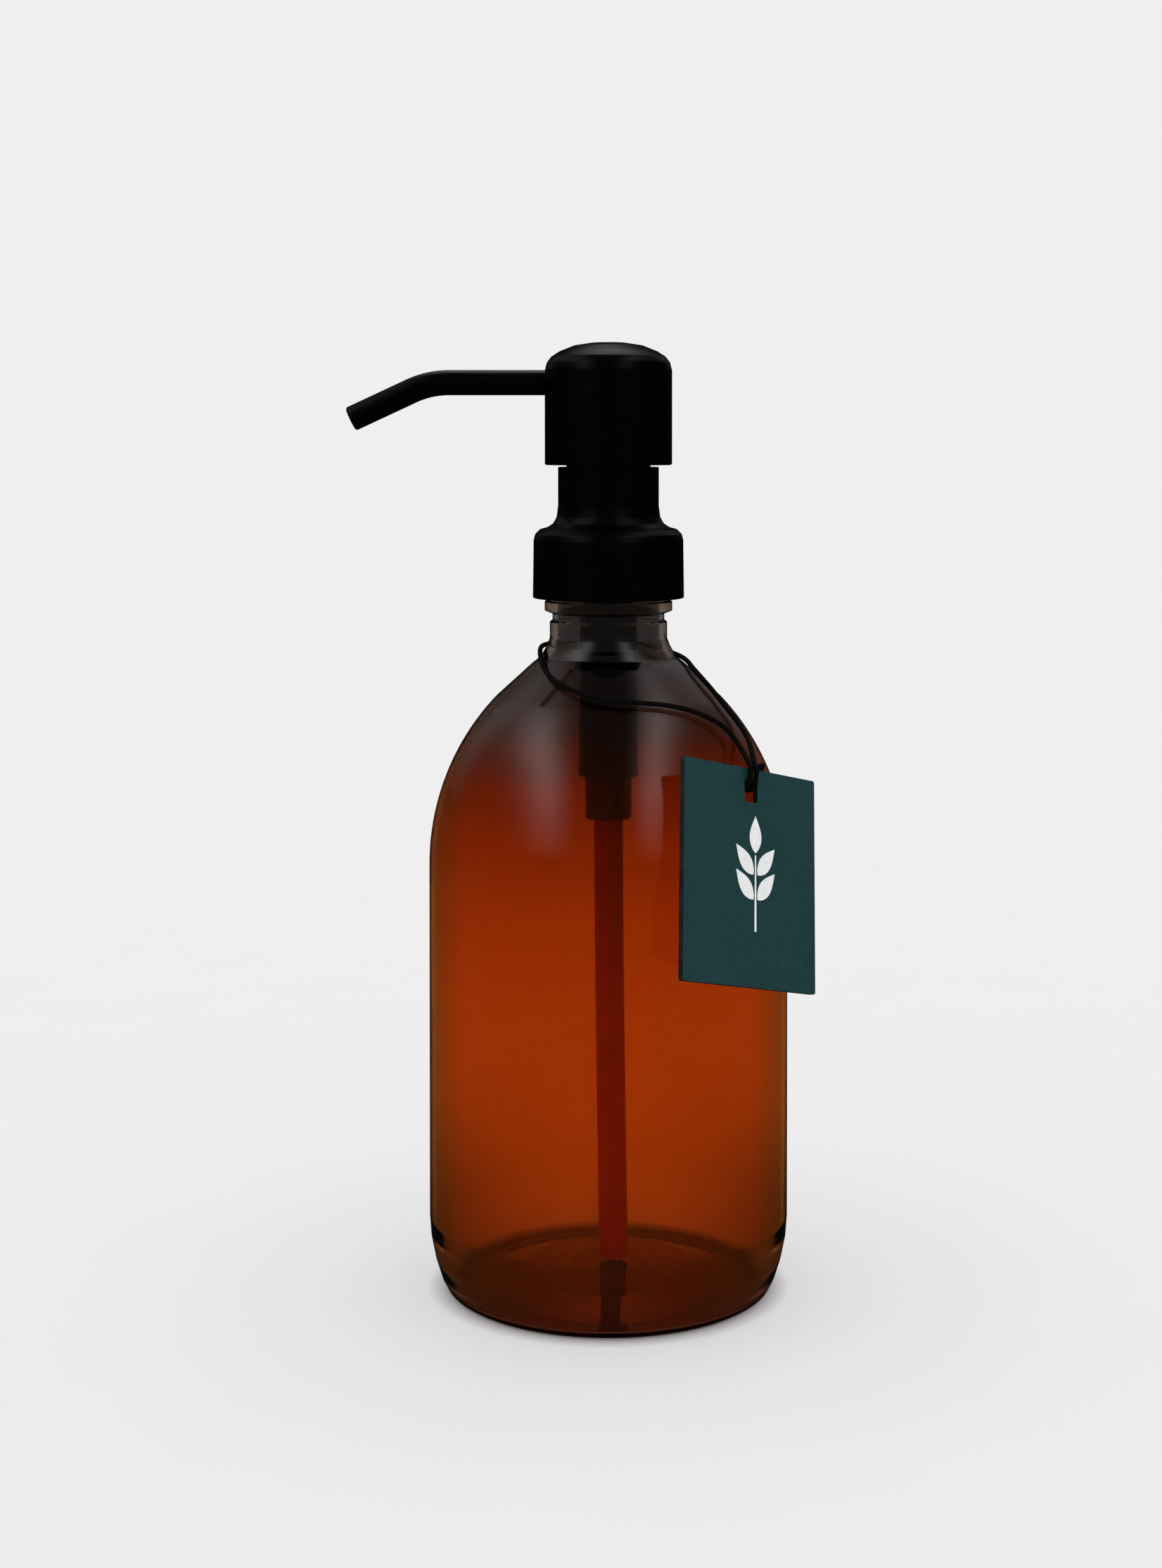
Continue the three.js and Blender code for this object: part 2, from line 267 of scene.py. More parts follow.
def ridge(name, base_r, base_w, crest_r, crest_w, start_z, look):
    """The helical thread ridge: a rounded crest that fades out over a tenth of a turn at both ends."""
    crest_fillet, lowest, fading = 0.35, 0.12, 0.1
    section = [
        (base_r, -base_w / 2, 0), (crest_r, -crest_w / 2, crest_fillet),
        (crest_r, crest_w / 2, crest_fillet), (base_r, base_w / 2, 0),
    ]
    dense = [tuple(p) for p in filleted(section)]
    steps = round(THREAD_TURNS * 72)
    verts, faces = [], []
    for s in range(steps + 1):
        turn = THREAD_TURNS * s / steps
        fade = min(1, lowest + turn / fading, lowest + (THREAD_TURNS - turn) / fading)
        a = turn * 2 * math.pi
        for r, z in dense:
            rr = (base_r + (r - base_r) * fade) * MM
            height = (start_z + z + turn * THREAD_PITCH) * MM
            verts.append((AXIS_X + rr * math.cos(a), rr * math.sin(a), height))
    n = len(dense)
    for s in range(steps):
        for k in range(n):
            m = (k + 1) % n
            faces.append((s * n + k, (s + 1) * n + k, (s + 1) * n + m, s * n + m))
    faces.append(list(range(n)))
    faces.append(list(range(steps * n, steps * n + n))[::-1])
    return new_object(name, verts, faces, look)


# ---------------------------------------------------------------- materials


def add_node(tree, kind, inputs=(), **settings):
    """A node with its settings, and its inputs linked or set by name or number."""
    node = tree.nodes.new(kind)
    for key, value in settings.items():
        setattr(node, key, value)
    for socket, value in dict(inputs).items():
        if isinstance(value, bpy.types.NodeSocket):
            tree.links.new(value, node.inputs[socket])
        else:
            node.inputs[socket].default_value = value
    return node


class Look:
    """A Principled material with short helpers for its procedural detail."""

    def __init__(self, name, color, roughness, **sockets):
        self.material = bpy.data.materials.new(name)
        self.material.use_nodes = True
        self.tree = self.material.node_tree
        self.shader = self.tree.nodes["Principled BSDF"]
        self.shader.inputs["Base Color"].default_value = (*color, 1)
        self.shader.inputs["Roughness"].default_value = roughness
        for socket, value in sockets.items():
            self.shader.inputs[socket.replace("_", " ")].default_value = value
        self.where = self.add("ShaderNodeTexCoord").outputs["Object"]

    def add(self, kind, inputs=(), **settings):
        return add_node(self.tree, kind, inputs, **settings)

    def math(self, operation, a, b):
        return self.add("ShaderNodeMath", {0: a, 1: b}, operation=operation).outputs[0]

    def link(self, output, socket):
        self.tree.links.new(output, self.shader.inputs[socket])

    def stretched(self, scale):
        node = self.add("ShaderNodeMapping", {"Vector": self.where})
        node.inputs["Scale"].default_value = scale
        return node.outputs["Vector"]

    def noise(self, scale, detail=4, where=None, rough=0.5):
        inputs = {"Vector": where or self.where, "Scale": scale, "Detail": detail, "Roughness": rough}
        return self.add("ShaderNodeTexNoise", inputs).outputs["Fac"]

    def ranged(self, value, low, high, first=0.3, last=0.7):
        """The value between first and last, mapped to low and high."""
        inputs = {"Value": value, "From Min": first, "From Max": last, "To Min": low, "To Max": high}
        return self.add("ShaderNodeMapRange", inputs).outputs["Result"]

    def blend(self, factor, one, two):
        node = self.add("ShaderNodeMix", data_type="RGBA")
        self.tree.links.new(factor, node.inputs[0])
        node.inputs[6].default_value = (*one, 1)
        node.inputs[7].default_value = (*two, 1)
        return node.outputs[2]

    def bump(self, height, distance, strength=1.0):
        inputs = {"Height": height, "Distance": distance, "Strength": strength}
        self.link(self.add("ShaderNodeBump", inputs).outputs["Normal"], "Normal")


# The tint darkens towards the heel and the neck, partly for the thicker wall there and partly as painted
# shade. The greyer tints over the shoulder and neck are a painted reflection.
AMBER_AND_PAINTED_LIGHT_BY_HEIGHT = [  # millimetres above the base, and the tint of one wall there
    (0, (0.5, 0.2, 0.12)), (8, (0.58, 0.19, 0.05)), (18, (0.63, 0.19, 0.03)),
    (40, (0.636, 0.193, 0.026)), (62, (0.62, 0.183, 0.025)), (80, (0.545, 0.152, 0.023)),
    (94, (0.45, 0.118, 0.018)), (104, (0.35, 0.092, 0.022)), (111, (0.23, 0.08, 0.042)),
    (118, (0.14, 0.085, 0.075)), (126, (0.09, 0.072, 0.07)), (134, (0.16, 0.155, 0.165)),
]
AMBER_RAMP_TOP = 160  # millimetres
AMBER_ABSORBED = (0.879, 0.49, 0.02, 1)


def amber_look():
    """Amber PET, darker towards the neck for its thicker wall and as painted shade, with a painted grey
    reflection over the shoulder and neck, and painted shade at the edges and at the heel.
    """
    look = Look("amber_pet", (0.636, 0.193, 0.026), 0.03, IOR=1.5, Transmission_Weight=1.0)
    height = look.add("ShaderNodeSeparateXYZ", {"Vector": look.where}).outputs["Z"]
    climb = look.ranged(height, 0, 1, 0, AMBER_RAMP_TOP * MM)
    ramp = look.add("ShaderNodeValToRGB", {"Fac": climb})
    ramp.color_ramp.interpolation = "EASE"
    stops = ramp.color_ramp.elements
    for z, color in AMBER_AND_PAINTED_LIGHT_BY_HEIGHT:
        stop = stops[0] if z == 0 else stops.new(z / AMBER_RAMP_TOP)
        stop.color = (*color, 1)
    stops.remove(stops[-1])
    # Painted shade at the edges: the tint falls off where the surface turns away, partly for the longer
    # path through the wall and partly for the dark room seen there.
    facing = look.add("ShaderNodeLayerWeight", {"Blend": 0.5}).outputs["Facing"]
    wall = look.ranged(facing, 1, 0.3, 0.42, 1)
    # Near the heel the painted shade takes the edges almost to black.
    heel = look.ranged(facing, 1, 0.03, 0, 0.89)
    low_down = look.ranged(height, 1, 0, 0.014, 0.042)
    edge = look.add("ShaderNodeMix", {0: low_down, 2: wall, 3: heel})
    tint = look.add("ShaderNodeVectorMath", {0: ramp.outputs["Color"]}, operation="SCALE")
    look.tree.links.new(edge.outputs[0], tint.inputs["Scale"])
    look.link(tint.outputs[0], "Base Color")
    look.link(look.ranged(look.noise(60), 0.015, 0.06), "Roughness")
    waves = look.noise(1.0, detail=2, where=look.stretched((34, 34, 14)))
    look.bump(waves, 0.00035, 0.35)
    absorb = look.add("ShaderNodeVolumeAbsorption", {"Color": AMBER_ABSORBED, "Density": 100.0})
    output = look.tree.nodes["Material Output"]
    look.tree.links.new(absorb.outputs["Volume"], output.inputs["Volume"])
    return look.material


def black_metal_look():
    """Matt black coating, with a fine grain in its tone, gloss and surface."""
    look = Look("black_metal", (0.001, 0.001, 0.001), 0.3, Specular_IOR_Level=0.12)
    fine = look.noise(1.0, detail=6, where=look.stretched((900, 900, 900)))
    low, high = (0.0003, 0.0003, 0.0003), (0.0012, 0.0011, 0.001)
    look.link(look.ranged(look.noise(140, detail=5), 0.26, 0.36), "Roughness")
    look.link(look.blend(look.ranged(fine, 0, 1), low, high), "Base Color")
    look.bump(fine, 0.00002, 0.3)
    return look.material


def plastic_look(name, low, high, rough, **sockets):
    """Moulded plastic: mottled between two colours, with a fine grain."""
    look = Look(name, high, rough, **sockets)
    mottle = look.noise(90, detail=4)
    look.link(look.blend(look.ranged(mottle, 0, 1), low, high), "Base Color")
    look.link(look.ranged(look.noise(200), rough - 0.06, rough + 0.08), "Roughness")
    look.bump(look.noise(600, detail=3), 0.00003, 0.4)
    return look.material


def steel_look():
    """Drawn wire, streaked along its height."""
    look = Look("spring_steel", (0.6, 0.6, 0.61), 0.22, Metallic=1.0)
    drawn = look.noise(1.0, detail=4, where=look.stretched((500, 500, 4000)))
    look.link(look.ranged(drawn, 0.16, 0.34), "Roughness")
    look.bump(drawn, 0.00001, 0.3)
    return look.material


def board_look():
    """Uncoated dark board with fibres and faint clouds."""
    look = Look("tag_board", (0.012, 0.048, 0.052), 0.72, Specular_IOR_Level=0.15)
    low, high = (0.0075, 0.038, 0.041), (0.013, 0.055, 0.059)
    fibre = look.noise(1.0, detail=8, where=look.stretched((700, 700, 1500)), rough=0.65)
    cloud = look.noise(40, detail=3)
    shade = look.math("ADD", look.ranged(fibre, 0, 0.6), look.ranged(cloud, 0, 0.4))
    look.link(look.blend(shade, low, high), "Base Color")
    look.link(look.ranged(fibre, 0.64, 0.82), "Roughness")
    look.bump(fibre, 0.00003, 0.5)
    return look.material


def board_edge_look():
    """The board's cut edge."""
    look = Look("tag_edge", (0.006, 0.007, 0.008), 0.85)
    layers = look.noise(1.0, detail=5, where=look.stretched((400, 400, 400)))
    low, high = (0.003, 0.004, 0.004), (0.012, 0.015, 0.016)
    look.link(look.blend(look.ranged(layers, 0, 1), low, high), "Base Color")
    look.bump(layers, 0.00005, 0.5)
    return look.material


def ink_look():
    """White print."""
    look = Look("tag_ink", (0.85, 0.87, 0.86), 0.55)
    low, high = (0.78, 0.81, 0.8), (0.9, 0.91, 0.9)
    look.link(look.blend(look.ranged(look.noise(900), 0, 1), low, high), "Base Color")
    look.bump(look.noise(1500, detail=2), 0.00001, 0.4)
    return look.material


def cord_look():
    """Round braided elastic: two sets of diagonal plaits in the tube's own UV map, with painted shade in
    the grooves between them.
    """
    plaits_round, plaits_along = 4, 2.6
    look = Look("cord_braid", (0.003, 0.003, 0.003), 0.8, Specular_IOR_Level=0.1)
    uv = look.add("ShaderNodeTexCoord").outputs["UV"]
    split = look.add("ShaderNodeSeparateXYZ", {"Vector": uv})
    plaits = []
    for direction in (1.0, -1.0):
        around = look.math("MULTIPLY", split.outputs["X"], plaits_round * direction)
        along = look.math("MULTIPLY", split.outputs["Y"], plaits_along)
        turns = look.math("MULTIPLY", look.math("ADD", around, along), 2 * math.pi)
        plaits.append(look.add("ShaderNodeMath", {0: turns}, operation="SINE").outputs[0])
    weave = look.math("MAXIMUM", *plaits)
    # Painted shade: the colour follows the weave, darker where the plaits sink into their grooves.
    low, high = (0.0008, 0.0008, 0.0008), (0.005, 0.0045, 0.0045)
    look.link(look.blend(look.ranged(weave, 0, 1, -0.2, 1), low, high), "Base Color")
    look.bump(weave, 0.00006, 0.8)
    return look.material


# ---------------------------------------------------------------- cord and tag

CORD_D = 1.0
TAG_W, TAG_H, TAG_THICK = 37.8, 42.2, 1.3
TAG_ORIGIN = (28, -21.79, 108.76)
TAG_AZIMUTH, TAG_LEAN, TAG_ROLL = map(math.radians, (-44, 11.53, 13.12))
SLOT_HALF, SLOT_TOP, SLOT_BOTTOM = 1.85, -2.4, -6.55
KNOT_CENTRE, KNOT_SIZE, KNOT_STEPS = (4.9, 0.75, -2.6), 0.42, 72

# The cord's route round the neck, about the bottle's axis, from the tag and back to it.
LOOP_ROUTE = [
    (28.65, -20.9, 109.95), (28.5, -19.5, 110.4), (28.2, -15.5, 112.35), (27.3, -11.9, 114.5),
    (25.4, -9.8, 117.2), (23.15, -9, 120.05), (20.9, -7.2, 122.8), (19.1, -5.6, 124.8),
    (17.4, -3.4, 126.6), (15.95, 0.6, 128.1), (13.6, 6.9, 128.95), (9.6, 11.1, 129.8),
    (3.6, 13.9, 130.5), (-3.6, 13.75, 130.85), (-9.3, 10.6, 131), (-12.7, 5.6, 131),
    (-13.85, -0.8, 130.65), (-13.6, -7.1, 128.9), (-12.6, -12.25, 127.1), (-10.15, -16.8, 125.25),
    (-7.15, -19.75, 124), (-4.2, -21.5, 123.15), (-0.2, -22.65, 122.5), (5.4, -22.75, 121.85),
    (11.15, -21.25, 121.2), (15.85, -19.45, 120.05), (19.95, -17.5, 118.25), (22.9, -16.3, 116.3),
    (25.05, -16.4, 113.95), (26.5, -18.8, 111.75), (27.3, -21.9, 110.35),
]


def tag_matrix():
    """The tag's own axes: origin at the middle of its top edge on the front face, x along the edge,
    z out of the front."""
    origin = Matrix.Translation(Vector(TAG_ORIGIN) * MM + AXIS)
    facing = Matrix.Rotation(TAG_AZIMUTH + math.pi / 2, 4, "Z")
    leaning = Matrix.Rotation(math.pi / 2 - TAG_LEAN, 4, "X")
    return origin @ facing @ leaning @ Matrix.Rotation(-TAG_ROLL, 4, "Z")


TAG = tag_matrix()


def on_tag(points):
    return [TAG @ (Vector(p) * MM) for p in points]


def end_front(x):
    """One end of the cord over the tag's edge, down its face and into the slot."""
    return [(x, 0.85, 0.5), (x, 0, 0.95), (x, -1.4, 0.85), (x, -3, 0.45), (x + 0.1, -4, -0.6)]


# The ends behind the tag, in its axes, from the slot to the knot.
LEFT_TAIL = [
    (-1.15, -4, -0.6), (-1.1, -3.7, -1.87), (0.1, -2.8, -1.95), (1.7, -1.5, -2.05), (3.3, -0.3, -2.3),
]
RIGHT_TAIL = [
    (0.55, -4, -0.6), (0.9, -3.9, -1.87), (2, -3.2, -1.95), (3.2, -2.3, -2.05), (4.4, -0.9, -2.4),
]


def cord_tube(name, path, look, closed=False):
    radius = CORD_D / 2 * MM
    rings = solid_sections(len(path), radius, 0.1 * MM)
    if closed:
        rings = [(i, radius, 0) for i in range(len(path))]
    return tube(name, path, rings, look, sides=14, closed=closed, squares=1 / (CORD_D * MM))


def make_cord(look):
    loop = [Vector(p) * MM + AXIS for p in LOOP_ROUTE]
    left, right = on_tag(end_front(-1.25)), on_tag(end_front(0.45))
    path = spline(list(reversed(right)) + loop + left, 6)
    cord = cord_tube("tag_cord", path, look)
    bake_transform(cord)
    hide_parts("cord_loop", "cord_end_left", "cord_end_right")
    tails = [
        cord_tube("cord_tail_left", spline(on_tag(LEFT_TAIL), 5), look),
        cord_tube("cord_tail_right", spline(on_tag(RIGHT_TAIL), 5), look),
    ]
    trefoil = []
    for k in range(KNOT_STEPS):
        t = 2 * math.pi * k / KNOT_STEPS
        offset = Vector((
            math.sin(t) + 2 * math.sin(2 * t),
            math.cos(t) - 2 * math.cos(2 * t),
            -1.5 * math.sin(3 * t),
        ))
        trefoil += on_tag([Vector(KNOT_CENTRE) + offset * KNOT_SIZE])
    knot = cord_tube("cord_knot_tied", trefoil, look, closed=True)
    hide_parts("cord_knot")
    for piece in (*tails, knot):
        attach(piece, "tag")


# ---------------------------------------------------------------- the pieces


def place(piece, body, slot, *nodes):
    """Puts a piece on its body, in place of the CAD nodes it stands for."""
    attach(piece, body)
    if nodes:
        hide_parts(*nodes)
    return piece


def bottle_outline():
    """The wall's section, up the outside and down the inside. The shoulder is an arc on either face."""
    shoulder_r, shoulder_z, dome = -12.8, 86.8, math.radians(43.6)
    outside = [
        (6.5, 3.7, 0.3), (7.4, 3.2, 0.3), (16.4, 2.9, 1), (26.5, 0, 1.5), (31.8, 0, 1), (33.1, 0.8, 1),
        (34.2, 2.9, 1.5), (35.4, 6.6, 4), (36.3, 11, 4), (36.6, 15, 4),
    ]
    outside += arc(49.4, shoulder_r, shoulder_z, 0, dome, 40)
    outside += [
        (15.7, 127.5, 1.2), (13.85, 129, 1), (12.6, 131.2, 1), (12, 132.8, 0.6), (12, 136.1, 0.15),
        (11.45, 136.5, 0.15), (11.45, 137.8, 0.15), (13.05, 138.4, 0.2), (13.05, 140.2, 0.2),
        (12.55, 140.6, 0.15), (12.55, 151.1, 0.3), (12.1, 151.6, 0.3),
    ]
    inside = [
        (10.9, 151.6, 0.3), (10.5, 151.2, 0.3), (10.5, 133.5, 1), (11.2, 130.6, 1), (12.8, 128.4, 1),
        (15.1, 126.7, 0.8),
    ]
    inside += arc(48.5, shoulder_r, shoulder_z, dome, 0, 40)
    inside += [
        (35.7, 15, 4), (34.5, 6.8, 4), (32.6, 1.7, 1.5), (31, 0.95, 1), (26.8, 0.95, 1.5),
        (16.8, 3.8, 1), (7, 4.6, 1), (0, 4.6, 0), (0, 3.7, 0),
    ]
    return outside + inside


def make_bottle(look):
    wall = turned("bottle_wall", bottle_outline(), look, sides=192, smooth=50)
    place(wall, "bottle", "amber_pet", "bottle")
    thread = ridge("bottle_thread", 12.3, 2.9, 13.7, 1.2, 143.6, look)
    place(thread, "bottle", "amber_pet")


def make_closure(metal, plastic):
    shell = [
        (14.95, 141, 0.12), (15.45, 141, 0.2), (15.3, 152.8, 1), (15, 154, 0.7), (14, 155, 0.7),
        (12.5, 155.4, 1), (11.3, 156.2, 0.8), (10.6, 157.5, 1), (10.3, 159.8, 1), (10.3, 167.7, 0.15),
        (9.8, 167.7, 0.1), (9.8, 159.7, 1), (10.1, 157.3, 1), (10.95, 155.8, 0.8), (12.3, 154.85, 0.8),
        (13.8, 154.45, 0.5), (14.6, 153.5, 0.5), (14.8, 152.7, 0.5),
    ]
    collar = turned("collar_shell", shell, metal, sides=160)
    place(collar, "closure", "black_metal", "closure_shell")
    for node in ("closure_insert", "guide_bush"):
        repaint(node, plastic)


def make_head(metal):
    shell = [
        (12.4, 168.1, 0.08), (12.8, 168.1, 0.1), (13, 168.4, 0.15), (13, 187.4, 1.2), (12.6, 189, 0.8),
        (11.7, 190.2, 0.8), (10, 191.3, 1), (7, 192.5, 2), (3.5, 193.05, 3), (0, 193.2, 0),
        (0, 192.6, 0), (3.4, 192.45, 2), (6.8, 191.9, 1.5), (9.6, 190.8, 0.8), (11.2, 189.8, 0.6),
        (12, 188.8, 0.5), (12.4, 187.3, 0.8),
    ]
    place(turned("head_cup", shell, metal, sides=160), "head", "black_metal", "head_shell")
    make_spout(metal)


def make_spout(metal):
    """A tube that runs straight out of the head, bends down and ends straight."""
    height, root, bend_start, tip = 184.9, 5.6, 32.6, (-52.6, 0, 177.4)
    bend_r, bend = 18.0, math.radians(25)
    level, round_bend, down = 14, 10, 12
    line = [(-root - (bend_start - root) * i / level, 0, height) for i in range(level + 1)]
    for i in range(1, round_bend + 1):
        a = bend * i / round_bend
        line.append((-bend_start - bend_r * math.sin(a), 0, height - bend_r * (1 - math.cos(a))))
    ahead = Vector((-math.cos(bend), 0, -math.sin(bend)))
    last = Vector(line[-1])
    reach = (Vector(tip) - last).dot(ahead)
    line += [last + ahead * reach * i / down for i in range(1, down + 1)]
    path = [Vector(p) * MM + AXIS for p in line]
    rings = bored_sections(len(path), 2.58 * MM, 1.8 * MM, 0.4 * MM)
    spout = tube("spout_nozzle", path, rings, metal, sides=40, smooth=50)
    place(spout, "head", "black_metal", "spout_tube")


def rounded_rectangle(half_w, low, high, radius, steps=5):
    """Anticlockwise points of a rectangle with rounded corners."""
    points = []
    for cx, cy, start in (
        (half_w - radius, high - radius, 0), (-half_w + radius, high - radius, 90),
        (-half_w + radius, low + radius, 180), (half_w - radius, low + radius, 270),
    ):
        for k in range(steps + 1):
            a = math.radians(start + 90 * k / steps)
            points.append((cx + radius * math.cos(a), cy + radius * math.sin(a)))
    return points


def slab(name, outline, holes, back, front, edge, look):
    """A flat board in the tag's axes. An edge above 0 rounds its outline and its holes by that much."""
    bm = bmesh.new()
    loops = []
    for ring in [outline, *holes]:
        verts = [bm.verts.new((x * MM, y * MM, back * MM)) for x, y in ring]
        loops += [bm.edges.new((a, b)) for a, b in zip(verts, verts[1:] + verts[:1])]
    bmesh.ops.triangle_fill(bm, edges=loops, use_beauty=True)
    bmesh.ops.recalc_face_normals(bm, faces=bm.faces)
    flat = list(bm.faces)
    if flat[0].normal.z > 0:
        bmesh.ops.reverse_faces(bm, faces=flat)
    raised = bmesh.ops.extrude_face_region(bm, geom=flat)
    top = [v for v in raised["geom"] if isinstance(v, bmesh.types.BMVert)]
    bmesh.ops.translate(bm, verts=top, vec=(0, 0, (front - back) * MM))
    square = 1.2  # radians: the least angle of a rim's edge
    rims = [e for e in bm.edges if len(e.link_faces) == 2 and e.calc_face_angle() > square]
    rims = [e for e in rims if abs(e.verts[0].co.z - e.verts[1].co.z) < TINY]
    if edge > 0:
        bmesh.ops.bevel(bm, geom=rims, offset=edge * MM, segments=3, profile=0.5, affect="EDGES")
    mesh = bpy.data.meshes.new(name)
    bm.to_mesh(mesh)
    bm.free()
    mesh.transform(TAG)
    mesh.shade_smooth()
    mesh.set_sharp_from_angle(angle=math.radians(40))
    return linked(name, mesh, look)


EDGE_ON = 0.35  # the greatest cosine between the tag's normal and a face of its cut edge


def make_tag(board, edge, ink):
    """The board with its slot, the darker material on its cut edges, and the printed sprig."""
    outline = rounded_rectangle(TAG_W / 2, -TAG_H, 0, 0.45)
    slot = rounded_rectangle(SLOT_HALF, SLOT_BOTTOM, SLOT_TOP, 0.35)
    tag = slab("tag_card", outline, [slot], -TAG_THICK, 0, 0.12, board)
    tag.data.materials.append(edge)
    normal = TAG.to_3x3() @ Vector((0, 0, 1))
    for face in tag.data.polygons:
        if abs(face.normal.dot(normal)) < EDGE_ON:
            face.material_index = 1
    place(tag, "tag", "tag_board", "hang_tag")
    sunk, raised = -0.02, 0.05
    for i, ring in enumerate(ornament()):
        printed = slab(f"tag_ornament_{i + 1}", ring, [], sunk, raised, 0, ink)
        place(printed, "tag", "tag_board")
    return tag


def ornament():
    """A plain sprig: a stem with five leaves, each a closed outline in the tag's axes."""
    def leaf(x, y, angle, length, width):
        a = math.radians(angle)
        along, across = Vector((math.cos(a), math.sin(a))), Vector((-math.sin(a), math.cos(a)))
        steps = 14

        def side(i, half):
            t = i / steps
            swell = math.sin(math.pi * t ** 0.8)
            return tuple(Vector((x, y)) + along * length * t + across * half * swell)

        right = [side(i, -width) for i in range(steps + 1)]
        left = [side(i, width) for i in range(steps - 1, 0, -1)]
        return right + left

    x, y = 1.2, -20
    stem = [(x - 0.28, y - 11.5), (x + 0.28, y - 11.5), (x + 0.16, y + 3.2), (x - 0.16, y + 3.2)]
    return [
        stem,
        leaf(x, y + 3.6, 90, 7.2, 1.7),
        leaf(x + 0.6, y - 0.6, 48, 7.4, 1.6), leaf(x - 0.6, y - 0.6, 132, 7.4, 1.6),
        leaf(x + 0.6, y - 5.4, 48, 7.4, 1.6), leaf(x - 0.6, y - 5.4, 132, 7.4, 1.6),
    ]


def repaint(node, look):
    """Gives a CAD node that keeps its own mesh a material."""
    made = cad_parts[node]
    made.data.materials.clear()
    made.data.materials.append(look)
    made.data.shade_smooth()
    made.data.set_sharp_from_angle(angle=math.radians(32))


def make_inside(dark, pale, seal, steel):
    """The barrel, the dip tube and the spring have meshes of their own. The rest is repainted CAD."""
    housing = [
        (3.1, 95.8, 0.15), (4.75, 95.8, 0.3), (4.75, 104.4, 0.2), (6.1, 104.5, 0.3), (6.15, 105.3, 0.5),
        (6, 107.4, 1), (6, 116.8, 0.2), (5.85, 117.2, 0.2), (5.85, 152.5, 0.3), (12.3, 152.5, 0.15),
        (12.3, 153.55, 0.15), (5.05, 153.55, 0.1), (5.05, 106, 0.2), (3, 106, 0.2), (1.6, 104.6, 0.2),
        (1.6, 103.1, 0.1), (3.1, 103.1, 0.1),
    ]
    barrel = turned("pump_barrel", housing, dark)
    place(barrel, "pump_body", "dark_plastic", "pump_housing")
    top, bottom, straight_to, steps = 102.8, 5.6, 95, 60
    lean, lean_power = 1.05, 1.4
    line = []
    for i in range(steps + 1):
        z = top - (top - bottom) * i / steps
        bent = max(0, (straight_to - z) / (straight_to - bottom))
        line.append(Vector((lean * bent ** lean_power, 0, z)) * MM + AXIS)
    rings = bored_sections(len(line), 2.95 * MM, 2.2 * MM, 0.15 * MM)
    suction = tube("suction_tube", line, rings, pale, sides=40, smooth=50)
    place(suction, "pump_body", "pale_plastic", "dip_tube")
    make_spring(steel)
    for node in ("pump_stem", "actuator_core", "valve_cage"):
        repaint(node, dark)
    for node in ("neck_gasket", "piston_seal"):
        repaint(node, seal)
    for node in ("inlet_ball", "outlet_ball"):
        repaint(node, steel)


def make_spring(steel):
    """A coil of wire, the spring that in the pump is squashed from its foot as the pump goes down its
    stroke.
    """
    coil_r, wire_r = 4.15, 0.42
    foot_z, climb = 107.8, 21.4  # of the wire's middle
    sweep, steps = 11 * math.pi, 220
    coil = []
    for i in range(steps + 1):
        a = sweep * i / steps
        point = Vector((coil_r * math.cos(a), coil_r * math.sin(a), foot_z + climb * a / sweep))
        coil.append(point * MM + AXIS)
    rings = solid_sections(len(coil), wire_r * MM, 0.1 * MM)
    spring = tube("coil_spring", coil, rings, steel, sides=12)
    place(spring, "pump_body", "spring_steel", "return_spring")
    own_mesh(spring)


# ---------------------------------------------------------------- stage and light


FLOOR_HALF = 6.0
SURROUND = 0.863  # as the camera sees it, directly or through the bottle
DIM_ROOM = 0.006  # as reflections see it between the panels
TOP_PANEL = 3.5
SOFT_PANELS = [(-0.64, 0.17, 1.35), (0.48, 0.15, 1.15)]  # centre and width across, and strength


def make_floor():
    """Pale paper that merges with the surround. A faint glow keeps the bottle's shadow soft; the glow
    fades out just under the bottle's foot, a painted shadow there.
    """
    look = Look("floor_paper", (0.45, 0.45, 0.45), 0.9, Specular_IOR_Level=0.0)
    look.shader.inputs["Emission Color"].default_value = (1, 1, 1, 1)
    middle = {0: look.where, 1: (AXIS_X, 0, 0)}
    offset = look.add("ShaderNodeVectorMath", middle, operation="SUBTRACT").outputs[0]
    away = look.add("ShaderNodeVectorMath", {0: offset}, operation="LENGTH").outputs["Value"]
    # Painted shadow: the glow is off within 31 mm of the bottle's axis and rises to full by 37 mm.
    look.link(look.ranged(away, 0, 0.414, 0.031, 0.037), "Emission Strength")
    paper = look.ranged(look.noise(30, detail=6), 0, 1)
    look.link(look.blend(paper, (0.447, 0.447, 0.447), (0.453, 0.453, 0.453)), "Base Color")
    mesh = bpy.data.meshes.new("floor")
    half = FLOOR_HALF
    corners = [(-half, -half, 0), (half, -half, 0), (half, half, 0), (-half, half, 0)]
    mesh.from_pydata(corners, [], [(0, 1, 2, 3)])
    floor = linked("floor", mesh, look.material)
    floor.visible_glossy = False


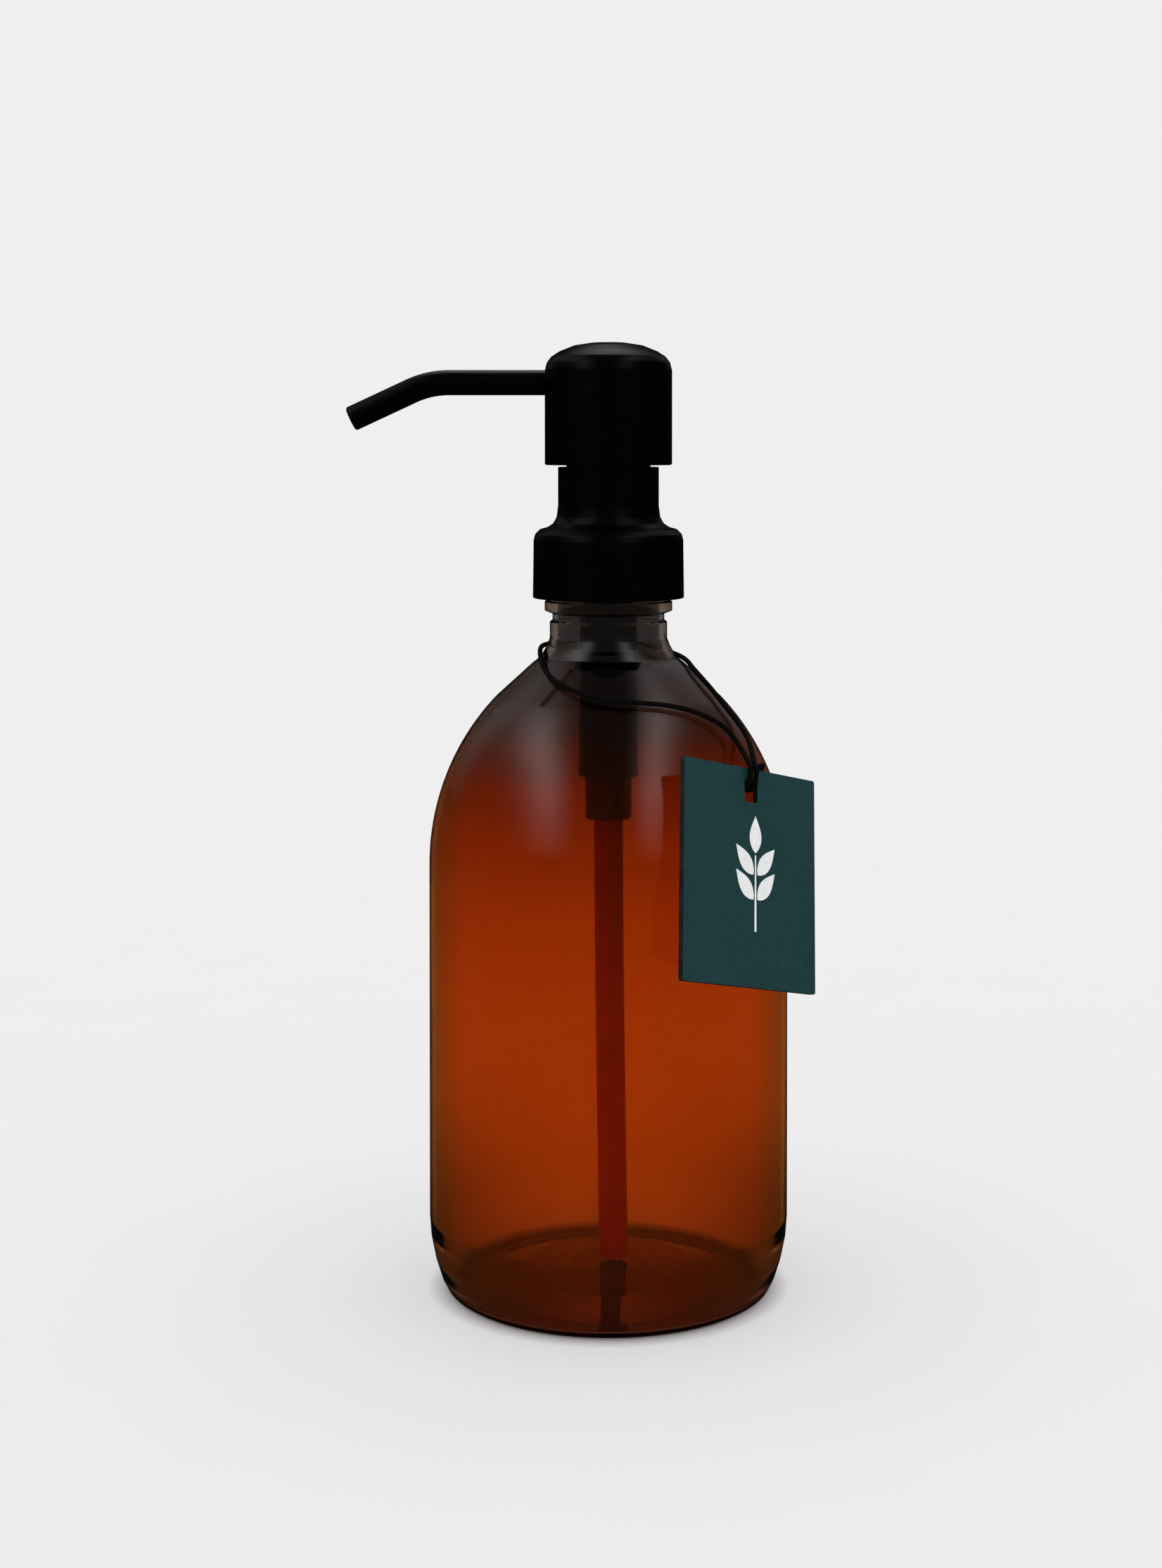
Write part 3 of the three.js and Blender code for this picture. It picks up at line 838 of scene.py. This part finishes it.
def make_world():
    """A plain pale surround. Reflections see a dim room with two long soft panels and a top one."""
    world = bpy.data.worlds.new("studio")
    bpy.context.scene.world = world
    world.use_nodes = True
    tree = world.node_tree

    def add(kind, inputs=(), **settings):
        return add_node(tree, kind, inputs, **settings)

    def math_node(operation, a, b=0.0):
        return add("ShaderNodeMath", {0: a, 1: b}, operation=operation).outputs[0]

    direction = add("ShaderNodeTexCoord").outputs["Generated"]
    way = add("ShaderNodeSeparateXYZ", {"Vector": direction}).outputs
    rising = {"Value": way["Z"], "From Min": 0.05, "From Max": 0.65}
    above = add("ShaderNodeMapRange", rising).outputs["Result"]
    falling = {"Value": way["Y"], "From Min": -0.1, "From Max": 0.35, "To Min": 1.0, "To Max": 0.3}
    forward = add("ShaderNodeMapRange", falling).outputs["Result"]
    above = math_node("MULTIPLY", above, forward)
    seen = DIM_ROOM
    for middle, width, power in SOFT_PANELS:
        off = math_node("DIVIDE", math_node("SUBTRACT", way["X"], middle), width)
        lobe = math_node("EXPONENT", math_node("MULTIPLY", math_node("MULTIPLY", off, off), -1.0))
        seen = math_node("ADD", seen, math_node("MULTIPLY", math_node("MULTIPLY", lobe, above), power))
    back = math_node("DIVIDE", math_node("SUBTRACT", way["Y"], 0.5), 0.22)
    overhead = {"Value": way["Z"], "From Min": 0.5, "From Max": 0.8}
    high = add("ShaderNodeMapRange", overhead).outputs["Result"]
    across = math_node("DIVIDE", way["X"], 0.25)
    spread = math_node("ADD", math_node("MULTIPLY", back, back), math_node("MULTIPLY", across, across))
    lobe = math_node("EXPONENT", math_node("MULTIPLY", spread, -1.0))
    seen = math_node("ADD", seen, math_node("MULTIPLY", math_node("MULTIPLY", lobe, high), TOP_PANEL))
    path = add("ShaderNodeLightPath").outputs
    direct = math_node("MAXIMUM", path["Is Camera Ray"], path["Is Transmission Ray"])
    strength = math_node("MULTIPLY", seen, path["Is Glossy Ray"])
    strength = math_node("ADD", strength, math_node("MULTIPLY", direct, SURROUND))
    strength = math_node("ADD", strength, path["Is Diffuse Ray"])
    background = tree.nodes["Background"]
    background.inputs["Color"].default_value = (1, 1, 1, 1)
    tree.links.new(strength, background.inputs["Strength"])
    bpy.context.scene.view_settings.view_transform = "Standard"


DARK_LOW, DARK_HIGH = (0.012, 0.011, 0.011), (0.022, 0.02, 0.02)
# The dip tube's own plastic is pale. Its colours are painted red for the amber-tinted light that reaches
# it and leaves it through the bottle.
DIP_TUBE_AMBER_LIT_LOW, DIP_TUBE_AMBER_LIT_HIGH = (0.52, 0.006, 0.012), (0.62, 0.009, 0.018)  # red, as it reads in the photograph
SEAL_LOW, SEAL_HIGH = (0.5, 0.5, 0.48), (0.58, 0.57, 0.55)


def main():
    make_camera()
    amber = amber_look()
    metal = black_metal_look()
    dark = plastic_look("dark_plastic", DARK_LOW, DARK_HIGH, 0.35)
    pale = plastic_look("pale_plastic", DIP_TUBE_AMBER_LIT_LOW, DIP_TUBE_AMBER_LIT_HIGH, 0.4, Specular_IOR_Level=0.1)
    seal = plastic_look("soft_seal", SEAL_LOW, SEAL_HIGH, 0.6)
    steel = steel_look()
    make_bottle(amber)
    make_closure(metal, dark)
    make_head(metal)
    make_inside(dark, pale, seal, steel)
    card = make_tag(board_look(), board_edge_look(), ink_look())
    make_cord(cord_look())
    make_floor()
    make_world()


main()
